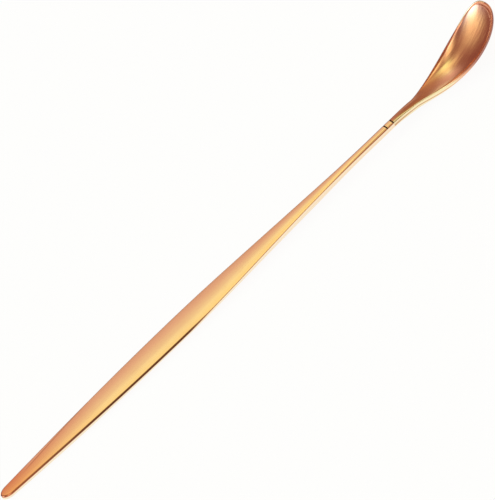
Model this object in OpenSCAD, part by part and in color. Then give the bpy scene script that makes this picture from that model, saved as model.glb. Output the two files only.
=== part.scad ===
// Bar spoon: a forged leaf-shaped handle and a pressed teardrop bowl, joined end to end at a slim
// neck by a short collar on a hidden steel pin. Lengths in millimetres, +X from handle to bowl,
// +Z up, lying as it does on a bar top: on the foot flat under the handle tip and on the bowl.

/* [Handle] */
// Length of the handle, from its tip to the collar
handle_length = 247.5; // [235:0.1:260]
// Width of the leaf-shaped blade where it is widest
blade_width = 12.9; // [11:0.1:16]
// Distance from the tip to the widest place
blade_peak = 113; // [90:1:130]
// Thickness of the blade's side where it is widest
blade_thickness = 2.05; // [1.6:0.05:2.8]
// Height of the gently domed top above the blade's edges
blade_crown = 0.4; // [0.2:0.05:0.7]
// Width at which the blade's sides start behind the tip
tip_width = 5.4; // [4:0.1:7]
// Length of the rounded end of the tip
tip_round = 4.6; // [3:0.1:6]
// Height of the top edge above the handle's centre line at the tip
tip_rise = 0.7; // [0.4:0.05:1]
// Depth of the underside below the centre line at the tip
tip_drop = 1.95; // [1.6:0.05:2.5]
// Height of the top edge above the centre line at the widest place
peak_rise = 0.5; // [0.3:0.05:0.8]
// Length of the flat under the tip that the handle rests on
foot_length = 24; // [12:1:40]
// How far the blade's lower corners are rounded in from its sides
corner_width = 1.1; // [0.6:0.1:1.8]
// Height of the top edge above the centre line where the blade has narrowed to a bar
heel_rise = 1.45; // [1:0.05:1.7]
// Depth of the underside below the centre line there
heel_drop = 2.3; // [1.8:0.05:2.6]

/* [Neck] */
// Height and width of the slim, squarish neck
neck_size = 3.45; // [3:0.05:4]
// Length over which the bar turns into the neck
neck_blend = 38; // [24:1:46]
// Length of even neck in front of the collar
neck_straight = 9.8; // [6:0.1:14]
// Length of the collar
collar_length = 3.9; // [3:0.1:6]
// Width of the groove across the top of each seam
groove_width = 0.55; // [0.4:0.05:0.8]
// Depth of the groove below the top of the neck
groove_depth = 0.6; // [0.5:0.05:0.65]
// How far the braze in a groove lies below the top of the neck
bead_recess = 0.35; // [0.2:0.01:0.4]

/* [Joint pin] */
// Diameter of the pin inside the neck
pin_diameter = 1.6; // [1.2:0.05:1.7]
// Length of pin that is held in the handle
pin_in_handle = 7; // [4:0.5:10]
// Length of pin that is held in the bowl's root
pin_in_bowl = 6; // [4:0.5:8]
// Clearance between the pin and its bore, on the radius
pin_fit = 0.02; // [0.01:0.005:0.04]
// Room left behind each end of the pin
pin_end_room = 0.4; // [0.2:0.1:0.8]
// Chamfer on each end of the pin
pin_chamfer = 0.25; // [0.1:0.05:0.4]

/* [Bowl] */
// Length of the root between the collar and the bowl
root_length = 14.3; // [11:0.1:18]
// Width of the root where the bowl begins
root_width = 4.3; // [3.8:0.05:5]
// Height of the root's top edge above the centre line
root_rise = 1.2; // [0.9:0.05:1.5]
// Depth of the root's keel below its top edge
root_depth = 4.4; // [3.6:0.1:4.9]
// Length of the bowl, measured along its rim
bowl_arc = 58.3; // [50:0.1:68]
// Width of the bowl where it is widest
bowl_width = 19.7; // [16:0.1:26]
// Depth of the bowl's outside below the rim
bowl_depth = 5.8; // [5.2:0.1:8]
// Thickness of the bowl's floor where the hollow is deepest
bowl_floor = 3; // [2.6:0.1:3.4]
// Width of the rim
rim_width = 0.6; // [0.5:0.1:1]
// Angle by which the rim dips behind the neck
rim_dip_angle = 6.3; // [0:0.1:10]
// Angle through which the rim turns up towards the nose
rim_turn_angle = 55.3; // [30:0.1:60]

/* [Hidden] */

copper = [0.86, 0.60, 0.45];
pin_steel = [0.70, 0.70, 0.72];
dark_braze = [0.22, 0.12, 0.08];

// Shares of the bowl's length at which its outline and its depth are greatest
width_share = 0.655;
depth_share = 0.33;
// Shares at which the root's crown has died away, the hollow is fully deep, and it starts to rise again
crown_end = 0.2;
hollow_full = 0.5;
hollow_share = 0.45;
// Share of the length behind the collar over which the rim dips
dip_share = root_length / (root_length + bowl_arc);
// Powers that shape the outlines: 2 is an ellipse, more is squarer, and the others set how fast a curve sets in
neck_power = 3.6;
corner_power = 2.6;
bowl_power = 2;
nose_power = 2.4;
swell_power = 0.65;
turn_power = 1.43;
fall_power = 0.88;
shoal_power = 0.42;
wall_power = 0.6;
// Powers of the top's cross-section, across and up: a parabola, and the neck's squarish round
flat_top = [2, 1];
neck_top = [neck_power, 1 / neck_power];
root_crown = 0.2;
neck_inset = 0.97;

neck_half = neck_size / 2;
root_half = root_width / 2;
// Distances from the tip to the even neck, and to where the blade has narrowed to a bar
neck_full = handle_length - neck_straight;
heel_start = neck_full - neck_blend;

// Number of facets of a cross-section and of stations along each piece
under_facets = 22;
top_facets = 14;
tip_stations = 8;
blade_stations = 42;
root_stations = 6;
bowl_stations = 46;
path_steps = 240;

function mix(a, b, share) = a + (b - a) * share;
function clamp(share) = max(0, min(1, share));
function smooth(share) = let (s = clamp(share)) s * s * (3 - 2 * s);

// A point on a superellipse quarter, as shares of its two half-axes
function quarter(angle, power) = [pow(cos(angle), 2 / power), pow(sin(angle), 2 / power)];

// --- Cross-sections -------------------------------------------------------------------------
// Underside from the near edge to the far edge, as [across, depth below the edge]
function under_profile(half, depth, corner, power) = [
    for (i = [0:under_facets])
        let (
            angle = 180 * i / under_facets,
            side = angle <= 90 ? 1 : -1,
            q = quarter(angle <= 90 ? angle : 180 - angle, power)
        ) [side * (half - corner + corner * q[0]), depth * q[1]]
];

// Top from the far inner edge to the near inner edge, as [across, depth below the edge]
function top_profile(half, inner, crown, power, hollow) = [
    for (i = [0:top_facets])
        let (
            y = -inner * cos(180 * i / top_facets),
            dome = crown * pow(max(0, 1 - pow(abs(y / half), power[0])), power[1]),
            dish = hollow * pow(max(0, 1 - pow(y / inner, 2)), wall_power)
        ) [y, dish - dome]
];

// Closed skin over rings of equal length, with flat ends
module skin(rings) {
    count = len(rings[0]);
    polyhedron(
        points = [for (ring = rings) each ring],
        faces = [
            [for (j = [count - 1:-1:0]) j],
            for (i = [0:len(rings) - 2], j = [0:count - 1]) each band(i, j, (j + 1) % count, count),
            [for (j = [0:count - 1]) (len(rings) - 1) * count + j]
        ]
    );
}
function band(i, j, k, count) = [
    [i * count + j, (i + 1) * count + k, (i + 1) * count + j],
    [i * count + j, i * count + k, (i + 1) * count + k]
];

// --- Bowl: its rim follows a path that starts on the centre line at the collar -----------------
bowl_start = handle_length + collar_length;
path_length = root_length + bowl_arc;

function path_angle(share) =
    rim_turn_angle * pow(clamp((share - dip_share) / (1 - dip_share)), turn_power) - rim_dip_angle * smooth(share / dip_share);

path_step = path_length / path_steps;
path = [
    for (i = 0, x = 0, z = 0; i <= path_steps;
        x = x + path_step * cos(path_angle((i + 0.5) / path_steps)),
        z = z + path_step * sin(path_angle((i + 0.5) / path_steps)),
        i = i + 1) [i * path_step, x, z]
];
path_x = [for (p = path) [p[0], p[1]]];
path_z = [for (p = path) [p[0], p[2]]];

// A point at an arc length along the path, at a distance across and a depth below it
function on_path(arc, p) = let (angle = path_angle(arc / path_length)) [
    bowl_start + lookup(arc, path_x) + p[1] * sin(angle),
    p[0],
    lookup(arc, path_z) - p[1] * cos(angle)
];

function past(share, from) = clamp((share - from) / (1 - from));
function teardrop(share, start, widest) = share < width_share
    ? mix(start, widest, pow(smooth(share / width_share), swell_power))
    : widest * pow(1 - pow(past(share, width_share), nose_power), 1 / nose_power);
function shoal(share, from) = pow(1 - pow(past(share, from), 2), shoal_power);
function depth_along(share) = share < depth_share
    ? mix(root_depth, bowl_depth, smooth(share / depth_share))
    : bowl_depth * shoal(share, depth_share);

function bowl_ring(arc) =
    let (
        share = clamp((arc - root_length) / bowl_arc),
        root = smooth(arc / root_length),
        in_root = arc < root_length,
        half = in_root ? mix(neck_half, root_half, root) : teardrop(share, root_half, bowl_width / 2),
        inner = in_root ? mix(neck_half * neck_inset, root_half - rim_width, root)
            : teardrop(share, root_half - rim_width, bowl_width / 2 - rim_width),
        depth = in_root ? mix(neck_half, root_depth, root) : depth_along(share),
        dish = (bowl_depth - bowl_floor) * smooth(share / hollow_full) * shoal(share, hollow_share),
        crown = mix(mix(neck_half, root_crown, root), 0, smooth(share / crown_end)),
        rise = root_rise * root,
        inner_arc = in_root ? arc : root_length + (arc - root_length) * (1 - rim_width / bowl_arc),
        lower = under_profile(half, depth, half, mix(neck_power, bowl_power, root)),
        upper = top_profile(half, inner, crown, mix(neck_top, flat_top, root), dish)
    ) concat(
        [for (p = lower) on_path(arc, [p[0], p[1] - rise])],
        [for (p = upper) on_path(inner_arc, [p[0], p[1] - rise])]
    );

// Stations close up towards the nose, which is closed by one point outside and one inside
function bowl_arc_at(i) = root_length + bowl_arc * (1 - pow(1 - i / bowl_stations, 1.6));
bowl_rings = [
    for (i = [0:root_stations - 1]) bowl_ring(root_length * i / root_stations),
    for (i = [0:bowl_stations - 1]) bowl_ring(bowl_arc_at(i))
];
nose_outside = on_path(path_length, [0, -root_rise]);
nose_inside = on_path(path_length - rim_width, [0, -root_rise]);

module bowl_skin() {
    count = len(bowl_rings[0]);
    end = (len(bowl_rings) - 1) * count;
    tip = end + count;
    rim_far = under_facets;
    polyhedron(
        points = [for (ring = bowl_rings) each ring, nose_outside, nose_inside],
        faces = [
            [for (j = [count - 1:-1:0]) j],
            for (i = [0:len(bowl_rings) - 2], j = [0:count - 1]) each band(i, j, (j + 1) % count, count),
            for (j = [0:rim_far - 1]) [end + j, end + j + 1, tip],
            for (j = [rim_far + 1:count - 2]) [end + j, end + j + 1, tip + 1],
            [end + rim_far, tip + 1, tip],
            [end + rim_far, end + rim_far + 1, tip + 1],
            [end + count - 1, tip, tip + 1],
            [end + count - 1, end, tip]
        ]
    );
}

// The spoon lies on the foot flat and on the lowest place of the bowl
bowl_keel = [for (ring = bowl_rings) ring[under_facets / 2]];
rest_slope = max([for (p = bowl_keel) (-p[2] - tip_drop) / p[0]]);
rest_angle = atan(rest_slope);

// --- Handle: everything below is measured along and across the centre line ---------------------
function neck_share(x) = smooth((x - heel_start) / neck_blend);
function heel_share(x) = smooth((x - blade_peak) / (heel_start - blade_peak));

function side_half(x) = x < blade_peak
    ? mix(tip_width, blade_width, sin(90 * x / blade_peak)) / 2
    : let (share = pow(clamp((x - blade_peak) / (neck_full - blade_peak)), fall_power))
        mix(neck_size, blade_width, (1 + cos(180 * share)) / 2) / 2;

function tip_share(x) = x < tip_round ? sqrt(1 - pow(1 - x / tip_round, 2)) : 1;
function handle_half(x) = side_half(x) * tip_share(x);

function edge_rise(x) = mix(
    x < blade_peak ? mix(tip_rise, peak_rise, smooth(x / blade_peak)) : mix(peak_rise, heel_rise, heel_share(x)),
    0, neck_share(x));

// Height of the edge above the plane that the spoon lies on
function edge_over_table(x) = edge_rise(x) + tip_drop + x * rest_slope;

function handle_depth(x) =
    x < foot_length ? edge_over_table(x)
    : x < blade_peak
        ? mix(edge_over_table(foot_length), blade_thickness, smooth((x - foot_length) / (blade_peak - foot_length)))
        : mix(blade_thickness, edge_rise(x) + mix(heel_drop, neck_half, neck_share(x)), heel_share(x));

function handle_ring(x) =
    let (
        half = handle_half(x),
        rise = edge_rise(x),
        share = neck_share(x),
        corner = min(mix(corner_width, side_half(x), share), half),
        lower = under_profile(half, handle_depth(x), corner, mix(corner_power, neck_power, share)),
        upper = top_profile(half, half * neck_inset, mix(blade_crown * tip_share(x), neck_half, share),
            mix(flat_top, neck_top, share), 0)
    ) [for (p = concat(lower, upper)) [x, p[0], rise - p[1]]];

handle_rings = [
    for (i = [1:tip_stations]) handle_ring(tip_round * (1 - cos(90 * i / tip_stations))),
    for (i = [1:blade_stations]) handle_ring(mix(tip_round, handle_length, i / blade_stations))
];

// Where a point lies along the bar top once the spoon rests on it
function laid_x(p) = p[0] * cos(rest_angle) - p[2] * sin(rest_angle);
tip_end = min([for (p = handle_rings[0]) laid_x(p)]);
nose_end = max([for (ring = bowl_rings, p = ring) laid_x(p)]);

// From the centre line's frame to the part's own: origin under the middle of the whole spoon
module laid() {
    translate([-(tip_end + nose_end) / 2, 0, tip_drop * cos(rest_angle)])
        rotate([0, -rest_angle, 0])
            children();
}

module along_x(from, length) {
    translate([from, 0, 0]) rotate([0, 90, 0]) linear_extrude(length) children();
}

// --- Neck joint ---------------------------------------------------------------------------------
pin_radius = pin_diameter / 2;
bore_start = handle_length - pin_in_handle - pin_end_room;
bore_end = bowl_start + pin_in_bowl + pin_end_room;
seams = [handle_length, bowl_start];

module pin_bore() {
    along_x(bore_start, bore_end - bore_start) circle(pin_radius + pin_fit, $fn = 48);
}

// The neck's squarish round, whole or drawn in by the given amount
module neck_outline(inset = 0) {
    half = neck_half - inset;
    outline = concat(
        under_profile(half, half, half, neck_power),
        top_profile(half, half * neck_inset, half, neck_top, 0));
    polygon([for (p = outline) [p[1], p[0]]]);
}

// Straight cuts across the top of both seams
module grooves() {
    for (x = seams)
        translate([x - groove_width / 2, -neck_size, neck_half - groove_depth])
            cube([groove_width, 2 * neck_size, neck_size]);
}

module handle() {
    color(copper) laid() difference() {
        skin(handle_rings);
        pin_bore();
        grooves();
    }
}

module neck_collar() {
    color(copper) laid() difference() {
        along_x(handle_length, collar_length) neck_outline();
        pin_bore();
        grooves();
    }
}

module bowl() {
    color(copper) laid() difference() {
        bowl_skin();
        pin_bore();
        grooves();
    }
}

module joint_pin() {
    start = handle_length - pin_in_handle;
    length = pin_in_handle + collar_length + pin_in_bowl;
    color(pin_steel) laid() translate([start, 0, 0]) rotate([0, 90, 0]) {
        rotate_extrude($fn = 48) polygon([
            [0, 0], [pin_radius - pin_chamfer, 0], [pin_radius, pin_chamfer],
            [pin_radius, length - pin_chamfer], [pin_radius - pin_chamfer, length], [0, length]
        ]);
    }
}

// Braze that has filled the bottom of both grooves
module braze_beads() {
    color(dark_braze) laid() for (x = seams) intersection() {
        along_x(x - groove_width / 2, groove_width) neck_outline(bead_recess);
        translate([x - groove_width / 2, -neck_half, neck_half - groove_depth])
            cube([groove_width, neck_size, neck_size]);
    }
}

handle();
neck_collar();
bowl();
joint_pin();
braze_beads();
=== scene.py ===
"""A copper bar spoon lying on a white table: leaf-shaped handle, slim jointed neck, teardrop bowl."""

import logging
import math
from collections.abc import Callable
from dataclasses import dataclass
from enum import Enum
from functools import cached_property

import bpy
import numpy as np
from mathutils import Matrix, Vector


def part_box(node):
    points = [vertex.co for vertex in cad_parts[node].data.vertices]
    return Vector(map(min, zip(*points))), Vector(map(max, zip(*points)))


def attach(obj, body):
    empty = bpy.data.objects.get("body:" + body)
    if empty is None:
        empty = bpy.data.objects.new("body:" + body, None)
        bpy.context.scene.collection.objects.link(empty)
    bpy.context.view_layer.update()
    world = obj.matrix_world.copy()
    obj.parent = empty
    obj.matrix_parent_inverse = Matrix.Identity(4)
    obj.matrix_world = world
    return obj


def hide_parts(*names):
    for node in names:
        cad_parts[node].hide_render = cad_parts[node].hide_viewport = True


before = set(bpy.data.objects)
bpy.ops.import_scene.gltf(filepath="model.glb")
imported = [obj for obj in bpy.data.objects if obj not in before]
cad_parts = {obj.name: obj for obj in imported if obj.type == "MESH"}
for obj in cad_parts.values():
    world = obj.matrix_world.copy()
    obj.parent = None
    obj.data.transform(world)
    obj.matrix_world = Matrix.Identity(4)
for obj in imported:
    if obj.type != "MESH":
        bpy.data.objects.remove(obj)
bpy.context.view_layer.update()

log = logging.getLogger("bar_spoon")

MM = 0.001
BODY = "root"
WELD = 0.002 * MM
NUDGE = 0.002 * MM
SHARP_EDGE = math.radians(38)
# The attribute with each point's share of painted light (above 0) and painted shade (below 0).
GRAIN = "grain_place"
LIGHT_PAINT = "light_paint_share"

Point = tuple[float, float, float]
Colour = tuple[float, float, float]
Span = tuple[float, float]


# --- Curves that the sections are made of ---------------------------------------------------------
def smooth(share: float) -> float:
    """Eases a share from 0 to 1, level at both ends."""
    held = min(max(share, 0.0), 1.0)
    return held * held * (3 - 2 * held)


def mix(low: float, high: float, share: float) -> float:
    """The value that lies a share of the way from low to high."""
    return low + (high - low) * share


def raised(share: float, power: float) -> float:
    """A power of a share that rounding may have left just under zero."""
    return max(share, 0.0) ** power


def inward(half: Callable[[float], float], at: float, start: float, end: float) -> Span:
    """The direction straight in from an outline.

    Args:
        half: The outline's half width at a distance along it.
        at: Where on the outline.
        start: Where a rounded end closes the outline at its low end, if one does.
        end: Where a rounded end closes it at its high end, if one does.

    Returns:
        The direction as (along, across), for the +Y side of the outline.
    """
    if at <= start:
        return 1.0, 0.0
    if at >= end:
        return -1.0, 0.0
    low, high = max(at - NUDGE, start), min(at + NUDGE, end)
    rise = (half(high) - half(low)) / (high - low)
    length = math.hypot(rise, 1.0)
    return rise / length, -1.0 / length


# --- Section walk ---------------------------------------------------------------------------------
class Stretch(Enum):
    """The stretches of a section, in the order in which they go round it."""

    NEAR_SIDE = "near side, up from the middle of the underside"
    NEAR_EDGE = "near edge"
    TOP = "top, from the near edge to the far edge"
    FAR_EDGE = "far edge"
    FAR_SIDE = "far side, down to the middle of the underside"

    @property
    def side(self) -> int:
        """-1 on the near side and the near edge, and 1 on the rest."""
        return -1 if self in (Stretch.NEAR_SIDE, Stretch.NEAR_EDGE) else 1

    @property
    def upright(self) -> bool:
        """Whether it is one of the two sides."""
        return self in (Stretch.NEAR_SIDE, Stretch.FAR_SIDE)

    def up(self, t: float) -> float:
        """How far up a side or an edge a point lies, from how far along the stretch it is."""
        return t if self.side < 0 else 1 - t


@dataclass(frozen=True)
class Walk:
    """How many steps each stretch of a section takes."""

    side: int = 30
    edge: int = 8
    top: int = 48

    def steps(self) -> list[tuple[Stretch, float]]:
        """Each step's stretch, and how far along that stretch it lies.

        Returns:
            One entry per step, with an entry more to close the section at its start.
        """
        counts = {
            Stretch.NEAR_SIDE: self.side,
            Stretch.NEAR_EDGE: self.edge,
            Stretch.TOP: self.top,
            Stretch.FAR_EDGE: self.edge,
            Stretch.FAR_SIDE: self.side,
        }
        found = [(stretch, i / count) for stretch, count in counts.items() for i in range(count)]
        return [*found, (Stretch.FAR_SIDE, 1.0)]


@dataclass(frozen=True)
class Fade:
    """A share of painted light and painted shade that changes along the spoon, as pairs of a distance from
    its tip and the share there.
    """

    keys: tuple[Span, ...] = ((0.0, 0.0),)

    def at(self, x: float) -> float:
        """The painted share at a distance from the tip."""
        return float(np.interp(x, *zip(*self.keys)))


@dataclass(frozen=True)
class PaintedCrease:
    """The painted shade and painted highlight of a faint fold line in the far half of the blade's top,
    which runs out to its edge; the mesh has no fold there.
    """

    start: float = 12 * MM
    full: float = 24 * MM
    end: float = 60 * MM
    inset_at_start: float = 2.4 * MM
    inset_at_end: float = 0.1 * MM
    width: float = 0.3 * MM
    # line is the painted shade on the fold line, and band the painted highlight outside it.
    line: float = -0.42
    band: float = 0.16

    def painted_share(self, x: float, inset: float) -> float:
        """The painted share beside the fold line.

        Args:
            x: The distance from the tip.
            inset: The distance in from the blade's far edge.

        Returns:
            The painted share: painted shade on the fold line, and painted highlight outside it.
        """
        if not self.start < x < self.end:
            return 0.0
        middle = mix(self.inset_at_start, self.inset_at_end, (x - self.start) / (self.end - self.start))
        off = (inset - middle) / self.width
        strength = smooth((x - self.start) / (self.full - self.start))
        return strength * (self.line * math.exp(-off * off) + self.band * smooth(-off))


@dataclass(frozen=True)
class Wear:
    """Light and shade painted on a piece's sides and edges, from 1 for full painted light, as a highlight
    and as the white table's reflection, to -1 for full painted shade.
    """

    # The painted share along the sides, the near edge and the far edge; side_line paints a fine dark line
    # along each side, placed by line_up and line_width, and side_fade is how far up the sides the paint
    # fades in.
    side: Fade
    near_edge: Fade
    far_edge: Fade
    side_line: float
    painted_crease: PaintedCrease | None = None
    side_fade: float = 0.5
    line_up: float = 0.78
    line_width: float = 0.045

    def shares(self, rings: list[list[Point]], walk: Walk) -> list[list[float]]:
        """The painted share of each point.

        Args:
            rings: The piece's points.
            walk: How they go round.

        Returns:
            The painted share of every point of every ring.
        """
        fades = {
            Stretch.NEAR_SIDE: self.side,
            Stretch.NEAR_EDGE: self.near_edge,
            Stretch.TOP: Fade(),
            Stretch.FAR_EDGE: self.far_edge,
            Stretch.FAR_SIDE: self.side,
        }
        steps = walk.steps()
        found = []
        for ring in rings:
            x, far = ring[0][0], max(point[1] for point in ring)
            painted_shares = [fades[stretch].at(x) * self.spread(stretch, t) for stretch, t in steps]
            if self.painted_crease:
                painted_shares = [
                    self.painted_crease.painted_share(x, far - point[1]) if stretch is Stretch.TOP else own
                    for own, point, (stretch, _) in zip(painted_shares, ring, steps)
                ]
            found.append(painted_shares)
        return found

    def spread(self, stretch: Stretch, t: float) -> float:
        """How much of a stretch's painted share is left part way along it.

        Args:
            stretch: The stretch. On a side the painted share fades in from underneath, and a fine painted
                dark line runs along it.
            t: How far along the stretch.

        Returns:
            The share that is left.
        """
        if not stretch.upright:
            return 1.0
        off = (stretch.up(t) - self.line_up) / self.line_width
        return smooth(stretch.up(t) / self.side_fade) - self.side_line * math.exp(-off * off)


@dataclass(frozen=True)
class Lay:
    """How the spoon's centre line lies in the frame: a little uphill from tip to bowl."""

    slope: float
    start: Vector

    @property
    def lean(self) -> float:
        """The angle at which the centre line rises."""
        return math.atan(self.slope)

    def place(self, point: Point) -> Vector:
        """Lays a point in the frame.

        Args:
            point: Its place along, across and above the centre line.

        Returns:
            Its place in the frame.
        """
        x, y, z = point
        along, up = math.cos(self.lean), math.sin(self.lean)
        return self.start + Vector((x * along - z * up, y, x * up + z * along))


# --- Mesh work ------------------------------------------------------------------------------------
def clear_selection() -> None:
    """Leaves object mode with nothing selected."""
    if bpy.context.mode != "OBJECT":
        bpy.ops.object.mode_set(mode="OBJECT")
    bpy.ops.object.select_all(action="DESELECT")


def take(piece: bpy.types.Object) -> None:
    """Selects one object alone and makes it active.

    Args:
        piece: The object.
    """
    clear_selection()
    piece.select_set(True)
    bpy.context.view_layer.objects.active = piece


def settle(piece: bpy.types.Object) -> None:
    """Puts an object's place and turn into its mesh."""
    take(piece)
    bpy.ops.object.transform_apply(location=True, rotation=True, scale=True)


def wrap(name: str, rings: list[list[Point]], lay: Lay, painted_shares: list[list[float]]) -> bpy.types.Object:
    """Lays a flat grid round a lofted shape, welds its seam and fills its ends.

    Args:
        name: The object's name.
        rings: The points round each station, along, across and above the centre line.
        lay: Where the centre line lies.
        painted_shares: Each point's share of painted light and painted shade, from 1 for full painted light
            to -1 for full painted shade.

    Returns:
        The closed mesh. GRAIN holds each point's distance from the spoon's tip, its distance round
        the shape from the middle of the top, and its distance across it. LIGHT_PAINT holds its
        share of painted light and painted shade.
    """
    stations, around = len(rings) - 1, len(rings[0]) - 1
    clear_selection()
    bpy.ops.mesh.primitive_grid_add(x_subdivisions=stations, y_subdivisions=around, size=2)
    piece = bpy.context.object
    piece.name = piece.data.name = name
    points = np.array(rings)
    girth = np.cumsum(np.linalg.norm(np.diff(points, axis=1, prepend=points[:, :1]), axis=2), axis=1)
    from_top = np.abs(girth - girth[:, around // 2][:, None])
    top = points[:, around // 2]
    travel = top[0][0] + np.cumsum(np.linalg.norm(np.diff(top, axis=0, prepend=top[:1]), axis=1))
    grain, painted_light = [], []
    for vertex in piece.data.vertices:
        i = round((vertex.co.x + 1) / 2 * stations)
        j = round((vertex.co.y + 1) / 2 * around)
        vertex.co = lay.place(rings[i][j])
        grain.extend((travel[i], from_top[i, j], rings[i][j][1]))
        painted_light.append(painted_shares[i][j])
    piece.data.attributes.new(GRAIN, "FLOAT_VECTOR", "POINT").data.foreach_set("vector", grain)
    # Each point's share of painted light and painted shade goes into its own attribute.
    piece.data.attributes.new(LIGHT_PAINT, "FLOAT", "POINT").data.foreach_set("value", painted_light)
    take(piece)
    bpy.ops.object.mode_set(mode="EDIT")
    bpy.ops.mesh.select_mode(type="VERT")
    bpy.ops.mesh.select_all(action="SELECT")
    bpy.ops.mesh.remove_doubles(threshold=WELD)
    bpy.ops.mesh.dissolve_degenerate(threshold=WELD)
    bpy.ops.mesh.select_all(action="DESELECT")
    bpy.ops.mesh.select_non_manifold(extend=False, use_wire=False, use_multi_face=False, use_verts=False)
    bpy.ops.mesh.edge_face_add()
    bpy.ops.mesh.select_all(action="SELECT")
    bpy.ops.mesh.normals_make_consistent(inside=False)
    bpy.ops.object.mode_set(mode="OBJECT")
    return piece


def carve(piece: bpy.types.Object, cutter: bpy.types.Object) -> None:
    """Cuts one object's shape out of another. The cut faces take the piece's last material.

    Args:
        piece: The object that is cut.
        cutter: The object that cuts it, which is then removed.
    """
    # The cut walls take the near-black braze finish, which is painted shade in the grooves.
    cutter.data.materials.append(piece.data.materials[-1])
    cut = piece.modifiers.new("cut", "BOOLEAN")
    cut.operation = "DIFFERENCE"
    cut.solver = "EXACT"
    cut.material_mode = "TRANSFER"
    cut.object = cutter
    take(piece)
    bpy.ops.object.modifier_apply(modifier=cut.name)
    bpy.data.objects.remove(cutter)


# --- Nodes ----------------------------------------------------------------------------------------
Socket = bpy.types.NodeSocket
Term = Socket | float | tuple[float, ...] | Vector


@dataclass(frozen=True)
class Bench:
    """A node tree, with short ways to add its nodes and to join them."""

    tree: bpy.types.NodeTree

    def add(self, kind: str, **options: object) -> bpy.types.Node:
        """Adds a shader node.

        Args:
            kind: The end of Blender's name for it.
            options: Its options, by name.

        Returns:
            The node.
        """
        node = self.tree.nodes.new(f"ShaderNode{kind}")
        for name, value in options.items():
            setattr(node, name, value)
        return node

    def join(self, source: Socket, target: Socket) -> None:
        """Joins one node's output to another's input."""
        self.tree.links.new(source, target)

    def feed(self, term: Term, socket: Socket) -> None:
        """Joins a socket to an input, or writes a number, a vector or a colour there.

        Args:
            term: What the input is given.
            socket: The input.
        """
        if isinstance(term, Socket):
            self.join(term, socket)
        elif socket.type == "RGBA":
            socket.default_value = (*term, 1.0)
        else:
            socket.default_value = term

    def maths(self, operation: str, *terms: Term) -> Socket:
        """A sum on numbers.

        Args:
            operation: Blender's name of the sum.
            terms: What it works on, in order.

        Returns:
            The socket with the result.
        """
        node = self.add("Math", operation=operation)
        for term, socket in zip(terms, node.inputs):
            self.feed(term, socket)
        return node.outputs["Value"]

    def vector(self, operation: str, first: Term, second: Term) -> Socket:
        """A sum on two vectors, or on a vector and the number that scales it.

        Args:
            operation: Blender's name of the sum.
            first: The first vector.
            second: The second vector, or the number.

        Returns:
            The socket with the result.
        """
        node = self.add("VectorMath", operation=operation)
        self.feed(first, node.inputs[0])
        self.feed(second, node.inputs["Scale" if operation == "SCALE" else 1])
        return node.outputs["Value" if operation == "DOT_PRODUCT" else "Vector"]

    def axis(self, place: Socket, name: str) -> Socket:
        """One axis of a vector.

        Args:
            place: The vector.
            name: The axis.

        Returns:
            The socket with its number.
        """
        node = self.add("SeparateXYZ")
        self.join(place, node.inputs["Vector"])
        return node.outputs[name]

    def blend(self, share: Term, low: Term, high: Term) -> Socket:
        """A colour between two others.

        Args:
            share: How far the colour lies from low to high.
            low: The colour at a share of 0.
            high: The colour at a share of 1.

        Returns:
            The socket with the colour.
        """
        node = self.add("Mix", data_type="RGBA")
        inputs = {socket.identifier: socket for socket in node.inputs}
        for term, name in ((share, "Factor_Float"), (low, "A_Color"), (high, "B_Color")):
            self.feed(term, inputs[name])
        return next(socket for socket in node.outputs if socket.identifier == "Result_Color")

    def spread(self, value: Socket, source: Span, target: Span) -> Socket:
        """A value moved from one range to another, and held inside it.

        Args:
            value: The value.
            source: The range that it comes from.
            target: The range that it is moved to.

        Returns:
            The socket with the result.
        """
        node = self.add("MapRange")
        self.join(value, node.inputs["Value"])
        for name, number in zip(("From Min", "From Max", "To Min", "To Max"), (*source, *target)):
            node.inputs[name].default_value = number
        return node.outputs["Result"]

    def noise(self, place: Socket, scale: float, detail: float, roughness: float = 0.5) -> Socket:
        """Noise in three dimensions.

        Args:
            place: Where it is read.
            scale: How close its lumps lie.
            detail: How many finer layers it has.
            roughness: How strong those layers are.

        Returns:
            The socket with its height.
        """
        node = self.add("TexNoise", noise_dimensions="3D")
        for name, number in (("Scale", scale), ("Detail", detail), ("Roughness", roughness)):
            node.inputs[name].default_value = number
        self.join(place, node.inputs["Vector"])
        return node.outputs["Fac"]

    def bump(self, height: Socket, depth: float, under: Socket | None = None) -> Socket:
        """A surface that is bumped by a height.

        Args:
            height: The height, from 0 to 1.
            depth: What a height of 1 stands for.
            under: The normal of a coarser bump that it lies on.

        Returns:
            The socket with the normal.
        """
        node = self.add("Bump")
        node.inputs["Strength"].default_value = 1.0
        node.inputs["Distance"].default_value = depth
        self.join(height, node.inputs["Height"])
        if under is not None:
            self.join(under, node.inputs["Normal"])
        return node.outputs["Normal"]

    def effect(self, tree: bpy.types.NodeTree, **terms: Term) -> Socket:
        """Places a shared effect.

        Args:
            tree: The effect's node group.
            terms: What its inputs are given, by name.

        Returns:
            Its one output.
        """
        node = self.add("Group", node_tree=tree)
        for name, term in terms.items():
            self.feed(term, node.inputs[name])
        return node.outputs[0]


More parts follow.
